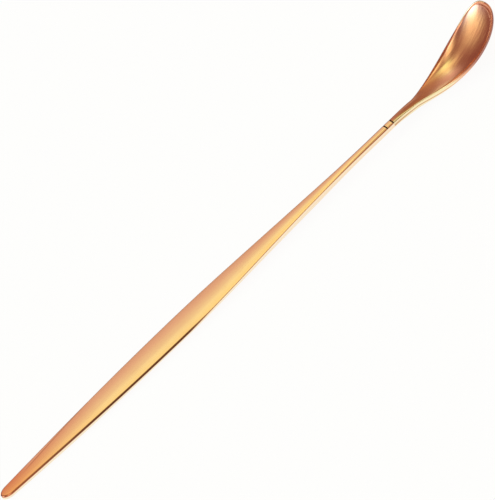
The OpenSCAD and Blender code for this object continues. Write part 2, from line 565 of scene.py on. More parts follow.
class Effects:
    """The surface effects that several finishes share, each a node group that is built once."""

    line_sizes: Span = (1.0, 3.7)
    line_detail: float = 2.0
    drift_detail: float = 3.0
    drift_roughness: float = 0.6
    drift_range: Span = (0.3, 0.7)
    scratch_turns: tuple[float, ...] = (0.5, -0.9, 1.9)
    scratch_stretch: tuple[float, float, float] = (0.12, 1.0, 0.5)
    scratch_scale: float = 3.0
    scratch_detail: float = 1.0
    scratch_width: float = 0.006
    noise_middle: float = 0.5

    def __init__(self) -> None:
        """Builds every group."""
        self.drawn_lines = self._drawn_lines()
        self.tone_drift = self._tone_drift()
        self.hairlines = self._hairlines()
        self.plate_light_and_shade = self._plate_light_and_shade()

    @staticmethod
    def _group(
        name: str, inputs: dict[str, str], output: tuple[str, str],
    ) -> tuple[Bench, bpy.types.NodeOutputs, Socket]:
        """Starts a group.

        Args:
            name: The group's name.
            inputs: Each input's kind, by name.
            output: The name and the kind of its one output.

        Returns:
            The group's bench, what its inputs give, and the socket that its output is joined to.
        """
        tree = bpy.data.node_groups.new(name, "ShaderNodeTree")
        for label, kind in inputs.items():
            tree.interface.new_socket(label, in_out="INPUT", socket_type=f"NodeSocket{kind}")
        label, kind = output
        tree.interface.new_socket(label, in_out="OUTPUT", socket_type=f"NodeSocket{kind}")
        given, out = tree.nodes.new("NodeGroupInput"), tree.nodes.new("NodeGroupOutput")
        return Bench(tree), given.outputs, out.inputs[label]

    def _drawn_lines(self) -> bpy.types.NodeTree:
        """Fine lines that run one way, as a belt or a cloth wheel leaves them.

        Returns:
            The group.
        """
        bench, given, out = self._group(
            "drawn_lines", {"Place": "Vector", "Line": "Vector"}, ("Height", "Float"))
        ruled = bench.vector("DIVIDE", given["Place"], given["Line"])
        heights = [
            bench.noise(bench.vector("SCALE", ruled, 1 / size), 1.0, self.line_detail)
            for size in self.line_sizes
        ]
        bench.join(bench.maths("MULTIPLY", bench.maths("ADD", *heights), 1 / len(heights)), out)
        return bench.tree

    def _tone_drift(self) -> bpy.types.NodeTree:
        """Slow changes of tone over a surface.

        Returns:
            The group.
        """
        bench, given, out = self._group(
            "tone_drift", {"Place": "Vector", "Patch": "Float"}, ("Share", "Float"))
        scaled = bench.vector("DIVIDE", given["Place"], given["Patch"])
        clouds = bench.noise(scaled, 1.0, self.drift_detail, self.drift_roughness)
        bench.join(bench.spread(clouds, self.drift_range, (0.0, 1.0)), out)
        return bench.tree

    def _hairlines(self) -> bpy.types.NodeTree:
        """A few thin scratches from use, lying any way.

        Returns:
            The group.
        """
        bench, given, out = self._group(
            "hairlines", {"Place": "Vector", "Size": "Float"}, ("Mask", "Float"))
        mask = 0.0
        for turn in self.scratch_turns:
            mapping = bench.add("Mapping")
            mapping.inputs["Rotation"].default_value = (0.0, 0.0, turn)
            mapping.inputs["Scale"].default_value = self.scratch_stretch
            bench.join(given["Place"], mapping.inputs["Vector"])
            scaled = bench.vector("DIVIDE", mapping.outputs["Vector"], given["Size"])
            clouds = bench.noise(scaled, self.scratch_scale, self.scratch_detail)
            off = bench.maths("ABSOLUTE", bench.maths("SUBTRACT", clouds, self.noise_middle))
            mask = bench.maths("MAXIMUM", mask, bench.spread(off, (0.0, self.scratch_width), (1.0, 0.0)))
        bench.join(mask, out)
        return bench.tree

    def _plate_light_and_shade(self) -> bpy.types.NodeTree:
        """Plating with painted light where the painted share is above 0, and painted shade where it is
        below.

        Returns:
            The group.
        """
        bench, given, out = self._group(
            "plate_light_and_shade",
            {"Plate": "Color", "Wear": "Float", "Rubbed": "Color", "Darkened": "Color"},
            ("Tone", "Color"))
        tone = bench.blend(given["Wear"], given["Plate"], given["Rubbed"])
        painted_shade = bench.maths("MULTIPLY", given["Wear"], -1.0)
        bench.join(bench.blend(painted_shade, tone, given["Darkened"]), out)
        return bench.tree


# --- Finishes -------------------------------------------------------------------------------------
def start_material(name: str, metallic: float) -> tuple[bpy.types.Material, Bench, bpy.types.NodeInputs]:
    """Starts a material.

    Args:
        name: The material's name.
        metallic: 1 for bare metal, 0 for anything else.

    Returns:
        The material, its bench and the inputs of its shader.
    """
    material = bpy.data.materials.new(name)
    material.use_nodes = True
    shader = material.node_tree.nodes["Principled BSDF"].inputs
    shader["Metallic"].default_value = metallic
    return material, Bench(material.node_tree), shader


@dataclass(frozen=True)
class CopperFinish:
    """Copper plating, from satin to nearly a mirror."""

    name: str
    slot: str
    bright: Colour
    deep: Colour
    # Colours laid on as painted light and painted shade, by each point's painted share.
    painted_light: Colour
    painted_shade: Colour
    line: tuple[float, float, float]
    line_depth: float
    ripple: tuple[float, float, float]
    ripple_depth: float
    # Painted shade laid at one end of the piece, and the distances from the tip over which it fades out.
    end_shade: Colour
    end_shade_reach: Span
    patch: float = 26 * MM
    roughness: Span = (0.14, 0.18)
    line_range: Span = (0.35, 0.65)
    scratch: float = 9 * MM
    scratch_depth: float = 0.5
    scratch_roughness: float = 0.06

    def material(self, effects: Effects) -> bpy.types.Material:
        """Makes the material.

        Args:
            effects: The shared node groups.

        Returns:
            The material.
        """
        material, bench, metal = start_material(self.name, metallic=1.0)
        place = bench.add("Attribute", attribute_name=GRAIN).outputs["Vector"]
        # Each point's share of painted light and painted shade.
        painted_share = bench.add("Attribute", attribute_name=LIGHT_PAINT).outputs["Fac"]
        lines = bench.effect(effects.drawn_lines, Place=place, Line=self.line)
        ripples = bench.effect(effects.drawn_lines, Place=place, Line=self.ripple)
        drift = bench.effect(effects.tone_drift, Place=place, Patch=self.patch)
        scratches = bench.effect(effects.hairlines, Place=place, Size=self.scratch)

        # Painted shade near one end of the piece, by its distance from the spoon's tip.
        end_shade_share = bench.spread(bench.axis(place, "X"), self.end_shade_reach, (1.0, 0.0))
        plate = bench.blend(end_shade_share, bench.blend(drift, self.deep, self.bright), self.end_shade)
        # Painted light and painted shade by each point's painted share.
        tone = bench.effect(
            effects.plate_light_and_shade, Plate=plate, Wear=painted_share, Rubbed=self.painted_light, Darkened=self.painted_shade)
        bench.join(tone, metal["Base Color"])

        rough = bench.spread(lines, self.line_range, self.roughness)
        scuffed = bench.maths("MULTIPLY", scratches, self.scratch_roughness)
        bench.join(bench.maths("ADD", rough, scuffed), metal["Roughness"])

        cut = bench.maths("MULTIPLY", scratches, -self.scratch_depth)
        height = bench.maths("ADD", lines, cut)
        swell = bench.bump(ripples, self.ripple_depth)
        bench.join(bench.bump(height, self.line_depth, under=swell), metal["Normal"])
        return material


@dataclass(frozen=True)
class SteelFinish:
    """Turned steel, for the pin inside the neck."""

    name: str = "turned_pin_steel"
    tone: Colour = (0.62, 0.62, 0.64)
    shade: Colour = (0.44, 0.44, 0.46)
    line: tuple[float, float, float] = (0.06 * MM, 4 * MM, 4 * MM)
    line_depth: float = 0.004 * MM
    line_range: Span = (0.3, 0.7)
    roughness: Span = (0.22, 0.42)

    def material(self, effects: Effects) -> bpy.types.Material:
        """Makes the material.

        Args:
            effects: The shared node groups.

        Returns:
            The material.
        """
        material, bench, metal = start_material(self.name, metallic=1.0)
        place = bench.add("TexCoord").outputs["Object"]
        lines = bench.effect(effects.drawn_lines, Place=place, Line=self.line)
        bench.join(bench.blend(lines, self.shade, self.tone), metal["Base Color"])
        bench.join(bench.spread(lines, self.line_range, self.roughness), metal["Roughness"])
        bench.join(bench.bump(lines, self.line_depth), metal["Normal"])
        return material


@dataclass(frozen=True)
class BrazeAndShadeFinish:
    """The braze beads' near-black finish, also laid on the cut walls of the grooves and the bore; its
    near-black paints the shade in the notches as well as colouring the braze.
    """

    name: str = "braze_and_groove_shade"
    dark: Colour = (0.012, 0.006, 0.004)
    brown: Colour = (0.075, 0.028, 0.014)
    grain: float = 0.12 * MM
    pit_depth: float = 0.02 * MM
    roughness: Span = (0.8, 0.5)

    def material(self, effects: Effects) -> bpy.types.Material:
        """Makes the material.

        Args:
            effects: The shared node groups.

        Returns:
            The material.
        """
        material, bench, scale = start_material(self.name, metallic=0.0)
        place = bench.add("TexCoord").outputs["Object"]
        drift = bench.effect(effects.tone_drift, Place=place, Patch=self.grain)
        bench.join(bench.blend(drift, self.dark, self.brown), scale["Base Color"])
        bench.join(bench.spread(drift, (0.0, 1.0), self.roughness), scale["Roughness"])
        bench.join(bench.bump(drift, self.pit_depth), scale["Normal"])
        return material


Finish = CopperFinish | SteelFinish | BrazeAndShadeFinish
SATIN = CopperFinish(
    name="satin_copper_plate",
    slot="satin_copper",
    bright=(0.94, 0.52, 0.295),
    deep=(0.91, 0.485, 0.27),
    # Painted light: the white table's reflection along the handle's sides; painted shade: the dark lines on
    # its edges and on the fold line.
    painted_light=(1.0, 0.90, 0.69),
    painted_shade=(0.20, 0.075, 0.04),
    line=(16 * MM, 0.10 * MM, 30 * MM),
    line_depth=0.0004 * MM,
    ripple=(14 * MM, 3 * MM, 9 * MM),
    ripple_depth=0.02 * MM,
    # Painted shade at the blade's tip, fading out by 62 mm from the tip.
    end_shade=(0.80, 0.27, 0.125),
    end_shade_reach=(8 * MM, 62 * MM))
POLISHED = CopperFinish(
    name="polished_copper_plate",
    slot="polished_copper",
    bright=(0.94, 0.50, 0.27),
    deep=(0.84, 0.37, 0.22),
    # Painted light on the bowl's outer walls and rim, as the white table's reflection and a highlight;
    # painted shade on its lines, its rim and its walls towards the nose.
    painted_light=(1.0, 0.87, 0.54),
    painted_shade=(0.36, 0.14, 0.12),
    line=(7 * MM, 0.12 * MM, 30 * MM),
    line_depth=0.0003 * MM,
    ripple=(12 * MM, 3 * MM, 3 * MM),
    ripple_depth=0.22 * MM,
    # Painted shade at the bowl's root, fading out by 288 mm from the tip.
    end_shade=(0.54, 0.20, 0.11),
    end_shade_reach=(266 * MM, 288 * MM),
    patch=11 * MM)
# Near-black braze finish for the beads, which also paints the shade on the groove walls.
SCALE = BrazeAndShadeFinish()
# Painted on the handle and the collar: the white table's reflection along the sides, fading a little
# towards the neck; painted shade along the near edge, strongest mid-blade, and along the far edge; a fine
# painted dark line along the sides; and the painted fold line.
HANDLE_LIGHT_AND_SHADE = Wear(
    side=Fade(((0.0, 1.0), (140 * MM, 1.0), (200 * MM, 0.82))),
    near_edge=Fade((
        (3 * MM, -0.35), (55 * MM, -0.95), (114 * MM, -0.95), (126 * MM, -0.25), (200 * MM, -0.1))),
    far_edge=Fade(((0.0, -0.8), (50 * MM, -0.9))),
    side_line=0.3,
    painted_crease=PaintedCrease())
# Painted on the bowl: the white table's reflection along its outer walls, turning to painted shade towards
# the nose; a painted highlight on the near rim turning to painted shade; painted shade on the far rim
# turning to a painted highlight at the nose; and fine painted dark lines along the walls.
BOWL_LIGHT_AND_SHADE = Wear(
    side=Fade(((252 * MM, 0.84), (264 * MM, 1.0), (284 * MM, 1.0), (300 * MM, -1.0))),
    near_edge=Fade(((280 * MM, 0.9), (292 * MM, -0.7))),
    far_edge=Fade(((305 * MM, -0.8), (310 * MM, 0.9))),
    side_line=1.1)


# --- Making the pieces ----------------------------------------------------------------------------
@dataclass(frozen=True)
class Shop:
    """What the pieces share while they are made: how the spoon lies, its bore and the effects."""

    lay: Lay
    bore: Span
    effects: Effects

    def made(self, finish: Finish) -> bpy.types.Material:
        """A finish's material, which is made once."""
        return bpy.data.materials.get(finish.name) or finish.material(self.effects)

    def loft(self, name: str, rings: list[list[Point]], painted_shares: list[list[float]],
             finish: CopperFinish) -> bpy.types.Object:
        """Makes a plated piece from its sections, and gives it the near-black braze finish that the cut
        walls of its grooves take, as painted shade.

        Args:
            name: The piece's name.
            rings: The points round each station, along, across and above the centre line.
            painted_shares: Each point's share of painted light and painted shade.
            finish: The plating.

        Returns:
            The piece, not yet cut.
        """
        piece = wrap(name, rings, self.lay, painted_shares)
        piece.data.materials.append(self.made(finish))
        piece.data.materials.append(self.made(SCALE))
        return piece

    def dress(self, piece: bpy.types.Object, node: str, finish: CopperFinish) -> None:
        """Smooths a piece and puts it in the place of its solid.

        Args:
            piece: The finished mesh.
            node: The solid that it stands for.
            finish: Its plating.
        """
        take(piece)
        bpy.ops.object.shade_smooth_by_angle(angle=SHARP_EDGE)
        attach(piece, BODY)
        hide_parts(node)
        log.info("%s: %d faces, %s", piece.name, len(piece.data.polygons), finish.name)


# --- Neck joint -----------------------------------------------------------------------------------
@dataclass(frozen=True)
class Neck:
    """Sizes of the slim neck and its joint, which the handle, the collar and the bowl share."""

    size: float = 3.45 * MM
    power: float = 3.6
    collar_length: float = 3.9 * MM
    groove_width: float = 0.7 * MM
    lip: float = 0.03 * MM
    groove_depth: float = 0.6 * MM
    bore: float = 1.64 * MM
    pin_in_handle: float = 7.4 * MM
    pin_in_bowl: float = 6.4 * MM
    bore_sides: int = 48
    corner_start: float = math.radians(20)
    corner_end: float = math.radians(70)

    @property
    def half(self) -> float:
        """Half the neck's height and width."""
        return self.size / 2

    @property
    def shoulder(self) -> float:
        """How far from a seam the metal beside its groove starts."""
        return self.groove_width / 2 + self.lip

    def outline(self, stretch: Stretch, t: float) -> Span:
        """A point of the neck's squarish round, across and above its middle, for half a width of 1.

        Args:
            stretch: The stretch of the section that the point lies on.
            t: How far along that stretch it lies.

        Returns:
            The point as (across, above).
        """
        ends = {
            Stretch.NEAR_SIDE: (-math.pi / 2, self.corner_start),
            Stretch.NEAR_EDGE: (self.corner_start, self.corner_end),
            Stretch.TOP: (self.corner_end, math.pi - self.corner_end),
            Stretch.FAR_EDGE: (math.pi - self.corner_end, math.pi - self.corner_start),
            Stretch.FAR_SIDE: (math.pi - self.corner_start, 3 * math.pi / 2),
        }
        angle = mix(*ends[stretch], t)
        across, up = math.cos(angle), math.sin(angle)
        return (
            -math.copysign(raised(abs(across), 2 / self.power), across),
            math.copysign(raised(abs(up), 2 / self.power), up))

    def merge(self, point: Point, rounded: Point, share: float) -> Point:
        """A point that lies a share of the way from a piece's own section to the neck's."""
        return tuple(mix(own, neck, share) for own, neck in zip(point, rounded))

    def cut(self, piece: bpy.types.Object, seams: tuple[float, ...], shop: Shop) -> None:
        """Cuts the grooves and the pin's bore into a piece of the neck.

        Args:
            piece: The piece to cut.
            seams: Distances along the centre line of the seams that the piece meets.
            shop: How the spoon lies and where its bore runs.
        """
        lay = shop.lay
        for seam in seams:
            middle = (seam, 0, self.half - self.groove_depth + self.size / 2)
            bpy.ops.mesh.primitive_cube_add(size=1, location=lay.place(middle), rotation=(0, -lay.lean, 0))
            cutter = bpy.context.object
            cutter.scale = (self.groove_width, 2 * self.size, self.size)
            settle(cutter)
            carve(piece, cutter)
        start, end = shop.bore
        middle = ((start + end) / 2, 0, 0)
        bpy.ops.mesh.primitive_cylinder_add(
            vertices=self.bore_sides, radius=self.bore / 2, depth=end - start,
            location=lay.place(middle), rotation=(0, math.pi / 2 - lay.lean, 0))
        cutter = bpy.context.object
        settle(cutter)
        carve(piece, cutter)


NECK = Neck()


# --- Handle ---------------------------------------------------------------------------------------
@dataclass(frozen=True)
class Handle:
    """The forged leaf-shaped handle, measured from its tip along the centre line."""

    length: float = 247.5 * MM
    blade_width: float = 12.9 * MM
    blade_peak: float = 113 * MM
    blade_thickness: float = 2.05 * MM
    blade_crown: float = 0.4 * MM
    crown_power: float = 2.4
    crown_fall_tip: float = 1.6
    crown_fall_neck: float = 0.4
    tip_width: float = 5.4 * MM
    tip_round: float = 4.6 * MM
    tip_rise: float = 0.7 * MM
    tip_drop: float = 1.95 * MM
    peak_rise: float = 0.5 * MM
    foot_length: float = 24 * MM
    corner_width: float = 1.1 * MM
    corner_power: float = 2.6
    near_round: float = 0.75 * MM
    far_round: float = 0.42 * MM
    slim_round: float = 0.26 * MM
    slim_start: float = 112 * MM
    slim_end: float = 136 * MM
    heel_rise: float = 1.45 * MM
    heel_drop: float = 2.3 * MM
    neck_blend: float = 38 * MM
    neck_straight: float = 9.8 * MM
    fall_power: float = 0.88
    walk: Walk = Walk()
    tip_stations: int = 26
    blade_stations: int = 210

    @property
    def neck_full(self) -> float:
        """Where the even neck begins."""
        return self.length - self.neck_straight

    @property
    def heel_start(self) -> float:
        """Where the blade has narrowed to a bar."""
        return self.neck_full - self.neck_blend

    def neck_share(self, x: float) -> float:
        """How far the bar has turned into the neck."""
        return smooth((x - self.heel_start) / self.neck_blend)

    def heel_share(self, x: float) -> float:
        """How far the blade has turned into the bar."""
        return smooth((x - self.blade_peak) / (self.heel_start - self.blade_peak))

    def side_half(self, x: float) -> float:
        """Half the blade's width, leaving its rounded tip out.

        Args:
            x: The distance from the tip.

        Returns:
            Half the width.
        """
        if x < self.blade_peak:
            return mix(self.tip_width, self.blade_width, math.sin(math.pi / 2 * x / self.blade_peak)) / 2
        past = min((x - self.blade_peak) / (self.neck_full - self.blade_peak), 1.0)
        share = raised(past, self.fall_power)
        return mix(NECK.size, self.blade_width, (1 + math.cos(math.pi * share)) / 2) / 2

    def half_width(self, x: float) -> float:
        """Half the blade's width.

        Args:
            x: The distance from the tip.

        Returns:
            Half the width.
        """
        if x >= self.tip_round:
            return self.side_half(x)
        return self.side_half(x) * raised(1 - (1 - x / self.tip_round) ** 2, 0.5)

    def rise(self, x: float) -> float:
        """Height of the blade's top edges above the centre line.

        Args:
            x: The distance from the tip.

        Returns:
            The height.
        """
        if x < self.blade_peak:
            return mix(self.tip_rise, self.peak_rise, smooth(x / self.blade_peak))
        return mix(self.peak_rise, self.heel_rise, self.heel_share(x))

    def depth(self, x: float, slope: float) -> float:
        """Height of the blade's side, from its top edge to its underside.

        Args:
            x: The distance from the tip.
            slope: The slope at which the spoon lies, which the flat of the foot follows.

        Returns:
            The height.
        """
        if x < self.foot_length:
            return self.rise(x) + self.tip_drop + x * slope
        if x < self.blade_peak:
            foot = self.rise(self.foot_length) + self.tip_drop + self.foot_length * slope
            share = smooth((x - self.foot_length) / (self.blade_peak - self.foot_length))
            return mix(foot, self.blade_thickness, share)
        return mix(self.blade_thickness, self.rise(x) + self.heel_drop, self.heel_share(x))

    def section(self, x: float, slope: float) -> list[Point]:
        """The points round the blade at a station.

        Args:
            x: The distance from the tip.
            slope: The slope at which the spoon lies.

        Returns:
            Points as (along, across, above the centre line).
        """
        neck = self.neck_share(x)
        slim = smooth((x - self.slim_start) / (self.slim_end - self.slim_start))
        half = self.half_width(x)
        depth = self.depth(x, slope)
        fall = self.crown_fall_tip if x < self.blade_peak else self.crown_fall_neck
        crown = self.blade_crown * (2 * half / self.blade_width) ** fall
        ahead, aside = inward(self.half_width, x, 0.0, math.inf)
        blade_rounds = {-1: self.near_round, 1: self.far_round}
        rounds = {side: mix(full, self.slim_round, slim) for side, full in blade_rounds.items()}
        flats = {side: max(half + aside * rounds[side], 0.0) for side in (-1, 1)}

        def dome_at(y: float) -> float:
            """Height of the domed top at a distance from its middle."""
            return crown * (1 - raised(abs(y) / half, self.crown_power)) if half else 0.0

        def off(inset: float, side: int, down: float) -> Point:
            """A point set in from the outline on a side, and down from the top edge."""
            return x + ahead * inset, side * max(half + aside * inset, 0.0), self.rise(x) - down

        points = []
        for stretch, t in self.walk.steps():
            side, up = stretch.side, stretch.up(t)
            edge = rounds[side]
            if stretch.upright:
                turn = math.pi / 2 * (1 - up)
                inset = self.corner_width * (1 - raised(math.cos(turn), 2 / self.corner_power))
                down = edge + (depth - edge) * raised(math.sin(turn), 2 / self.corner_power)
                middle = (x + ahead * self.corner_width, 0.0, self.rise(x) - depth)
                point = off(inset, side, down) if up else middle
            elif stretch is Stretch.TOP:
                across = (1 - math.cos(math.pi * t)) / 2
                y = mix(-flats[-1], flats[1], across)
                foot = mix(dome_at(flats[-1]), dome_at(flats[1]), across)
                point = (x + ahead * mix(rounds[-1], rounds[1], t), y, self.rise(x) + dome_at(y) - foot)
            else:
                quarter = math.pi / 2 * up
                point = off(edge * (1 - math.cos(quarter)), side, edge * (1 - math.sin(quarter)))
            across, above = NECK.outline(stretch, t)
            points.append(NECK.merge(point, (x, across * half, above * NECK.half), neck))
        return points

    def stations(self) -> list[float]:
        """Where the blade has its rings.

        Returns:
            Distances from the tip, closing up towards it.
        """
        turns = [math.pi / 2 * i / self.tip_stations for i in range(self.tip_stations)]
        tip = [self.tip_round * (1 - math.cos(turn)) for turn in turns]
        steps = range(self.blade_stations + 1)
        blade = [mix(self.tip_round, self.length, i / self.blade_stations) for i in steps]
        return sorted([*tip, *blade, self.length - NECK.shoulder])

    def build(self, shop: Shop) -> None:
        """Builds the blade and dresses it.

        Args:
            shop: What the pieces share.
        """
        rings = [self.section(x, shop.lay.slope) for x in self.stations()]
        blade = shop.loft("handle_blade", rings, HANDLE_LIGHT_AND_SHADE.shares(rings, self.walk), SATIN)
        NECK.cut(blade, (self.length,), shop)
        shop.dress(blade, "handle", SATIN)


# --- Collar ---------------------------------------------------------------------------------------
@dataclass(frozen=True)
class Collar:
    """The short piece of the neck between the two grooves, which carries on the handle's end."""

    handle: Handle

    @property
    def end(self) -> float:
        """Where the collar meets the bowl."""
        return self.handle.length + NECK.collar_length

    def build(self, shop: Shop) -> None:
        """Builds the collar and dresses it.

        Args:
            shop: What the pieces share.
        """
        section = self.handle.section(self.handle.length, shop.lay.slope)
        steps = (0.0, NECK.shoulder, NECK.collar_length - NECK.shoulder, NECK.collar_length)
        rings = [[(x + step, y, z) for x, y, z in section] for step in steps]
        collar = shop.loft("collar", rings, HANDLE_LIGHT_AND_SHADE.shares(rings, self.handle.walk), SATIN)
        NECK.cut(collar, (self.handle.length, self.end), shop)
        shop.dress(collar, "neck_collar", SATIN)


# --- Bowl -----------------------------------------------------------------------------------------
@dataclass(frozen=True)
class Bowl:
    """The pressed bowl with its root, measured along a rim line that starts at the collar."""

    start: float
    root_length: float = 14.3 * MM
    root_width: float = 4.3 * MM
    root_rise: float = 1.2 * MM
    root_depth: float = 4.4 * MM
    root_crown: float = 0.2 * MM
    arc: float = 58.3 * MM
    width: float = 19.7 * MM
    depth: float = 5.8 * MM
    floor: float = 3 * MM
    rim_width: float = 0.6 * MM
    rim_round: float = 0.3 * MM
    lip_round: float = 0.3 * MM
    rim_dip: float = math.radians(6.3)
    rim_turn: float = math.radians(55.3)
    width_share: float = 0.655
    depth_share: float = 0.33
    crown_end: float = 0.2
    hollow_full: float = 0.5
    hollow_share: float = 0.45
    wall_power: float = 0.6
    nose_power: float = 2.4
    swell_power: float = 0.65
    turn_power: float = 1.43
    shoal_power: float = 0.42
    walk: Walk = Walk(side=32, edge=10, top=64)
    root_stations: int = 18
    bowl_stations: int = 110
    line_steps: int = 960

    @property
    def length(self) -> float:
        """Length of the rim line from the collar to the nose."""
        return self.root_length + self.arc

    def angle(self, share: float) -> float:
        """The rim line's angle above the centre line.

        Args:
            share: How far along the rim line.

        Returns:
            The angle.
        """
        dip_share = self.root_length / self.length
        past = min(max((share - dip_share) / (1 - dip_share), 0.0), 1.0)
        return self.rim_turn * past**self.turn_power - self.rim_dip * smooth(share / dip_share)

    def half_width(self, arc: float) -> float:
        """Half the width of the outline.

        Args:
            arc: The distance along the rim line.

        Returns:
            Half the width.
        """
        if arc < self.root_length:
            return mix(NECK.half, self.root_width / 2, smooth(arc / self.root_length))
        share = (arc - self.root_length) / self.arc
        if share < self.width_share:
            swell = smooth(share / self.width_share) ** self.swell_power
            return mix(self.root_width / 2, self.width / 2, swell)
        past = (share - self.width_share) / (1 - self.width_share)
        return self.width / 2 * raised(1 - raised(past, self.nose_power), 1 / self.nose_power)

    def shoal(self, share: float, start: float) -> float:
        """What is left of a depth at a share of the bowl's length, once it dies away towards the nose."""
        past = max((share - start) / (1 - start), 0.0)
        return raised(1 - past * past, self.shoal_power)

    def section(self, arc: float) -> list[Point]:
        """The points round the bowl at a station.

        Args:
            arc: The station's distance along the rim line.

        Returns:
            Points as (distance along the rim line, across, below the rim line).
        """
        share = min(max((arc - self.root_length) / self.arc, 0.0), 1.0)
        neck = 1 - smooth(arc / self.root_length)
        keen = smooth(share / self.crown_end)
        half = self.half_width(arc)
        edge, rim = self.rim_round, self.rim_width
        body = mix(self.root_depth, self.depth, smooth(share / self.depth_share))
        below = math.hypot(body * self.shoal(share, self.depth_share), edge) - edge
        hollow = (self.depth - self.floor) * smooth(share / self.hollow_full)
        dish = hollow * self.shoal(share, self.hollow_share)
        lip = min(self.lip_round * keen, dish)
        crown = mix(self.root_crown, 0.0, keen)
        back, aside = inward(self.half_width, arc, -math.inf, self.length)
        inner = max(half + aside * rim, 0.0)

        def off(inset: float, side: int, down: float) -> Point:
            """A point set in from the outline on a side, and down from the rim."""
            return arc + back * inset, side * max(half + aside * inset, 0.0), down - self.root_rise

        points = []
        for stretch, t in self.walk.steps():
            side, up = stretch.side, stretch.up(t)
            if stretch.upright:
                turn = math.pi / 2 * (1 - up)
                point = (arc, side * half * math.cos(turn), edge + below * math.sin(turn) - self.root_rise)
            elif stretch is Stretch.TOP:
                across = -math.cos(math.pi * t)
                bulge = 1 - across * across
                down = lip + (dish - lip) * raised(bulge, self.wall_power) - crown * bulge
                point = (arc + back * rim, inner * across, down - self.root_rise)
            else:
                bend = up * (1 + keen) * math.pi / 2
                radius, middle = (edge, edge) if bend <= math.pi / 2 else (lip, rim - lip)
                point = off(middle - radius * math.cos(bend), side, radius * (1 - math.sin(bend)))
            across, above = NECK.outline(stretch, t)
            points.append(NECK.merge(point, (arc, across * half, -above * NECK.half), neck))
        return points

    def stations(self) -> list[float]:
        """Where the bowl has its rings.

        Returns:
            Distances along the rim line, closing up towards the nose.
        """
        root = [self.root_length * i / self.root_stations for i in range(self.root_stations)]
        root.insert(1, NECK.shoulder)
        steps = range(self.bowl_stations + 1)
        return root + [self.root_length + self.arc * (1 - (1 - i / self.bowl_stations) ** 2) for i in steps]

    @cached_property
    def rings(self) -> list[list[Point]]:
        """Every station's points.

        Returns:
            Points as (along, across, above the spoon's centre line).
        """
        step = self.length / self.line_steps
        angles = [self.angle((i + 0.5) / self.line_steps) for i in range(self.line_steps)]
        line_x = np.concatenate([[0.0], np.cumsum(np.cos(angles) * step)])
        line_z = np.concatenate([[0.0], np.cumsum(np.sin(angles) * step)])
        arcs = np.arange(self.line_steps + 1) * step
        rings = []
        for arc in self.stations():
            ring = []
            for s, y, down in self.section(arc):
                angle = self.angle(s / self.length)
                x = self.start + float(np.interp(s, arcs, line_x)) + down * math.sin(angle)
                ring.append((x, y, float(np.interp(s, arcs, line_z)) - down * math.cos(angle)))
            rings.append(ring)
        return rings

    def build(self, shop: Shop) -> None:
        """Builds the shell and dresses it.

        Args:
            shop: What the pieces share.
        """
        shell = shop.loft("bowl_shell", self.rings, BOWL_LIGHT_AND_SHADE.shares(self.rings, self.walk), POLISHED)
        NECK.cut(shell, (self.start,), shop)
        shop.dress(shell, "bowl", POLISHED)


# --- Inside the neck ------------------------------------------------------------------------------
@dataclass(frozen=True)
class Joint:
    """The pin and the braze inside the neck, which are shown as the solids that they are."""

    pin: SteelFinish = SteelFinish()
    braze: BrazeAndShadeFinish = SCALE

    def build(self, shop: Shop) -> None:
        """Gives both solids their finishes.

        Args:
            shop: What the pieces share.
        """
        for node, finish in (("joint_pin", self.pin), ("braze_beads", self.braze)):
            solid = bpy.data.objects[node]
            solid.data.materials.clear()
            solid.data.materials.append(shop.made(finish))
            log.info("%s keeps its solid and takes %s", node, finish.name)


# --- Studio ---------------------------------------------------------------------------------------
@dataclass(frozen=True)
class Glow:
    """A soft patch of light in the room.

    The azimuth goes round from +X towards +Y, and the spread is how far from its middle the glow has
    lost two fifths of its strength.
    """

    name: str
    azimuth: float
    elevation: float
    spread: float
    colour: Colour

    @property
    def towards(self) -> Vector:
        """The direction of its middle."""
        level, turn = math.radians(self.elevation), math.radians(self.azimuth)
        return Vector((math.cos(turn) * math.cos(level), math.sin(turn) * math.cos(level), math.sin(level)))

    def paint(self, bench: Bench, direction: Socket) -> Socket:
        """Its colour in every direction.

        Args:
            bench: The room's nodes.
            direction: The direction that is looked in.

        Returns:
            The socket with its colour.
        """
        drop = bench.maths("SUBTRACT", bench.vector("DOT_PRODUCT", direction, self.towards), 1.0)
        strength = bench.maths("EXPONENT", bench.maths("DIVIDE", drop, math.radians(self.spread) ** 2))
        colour = bench.vector("SCALE", self.colour, strength)
        colour.node.label = self.name
        return colour


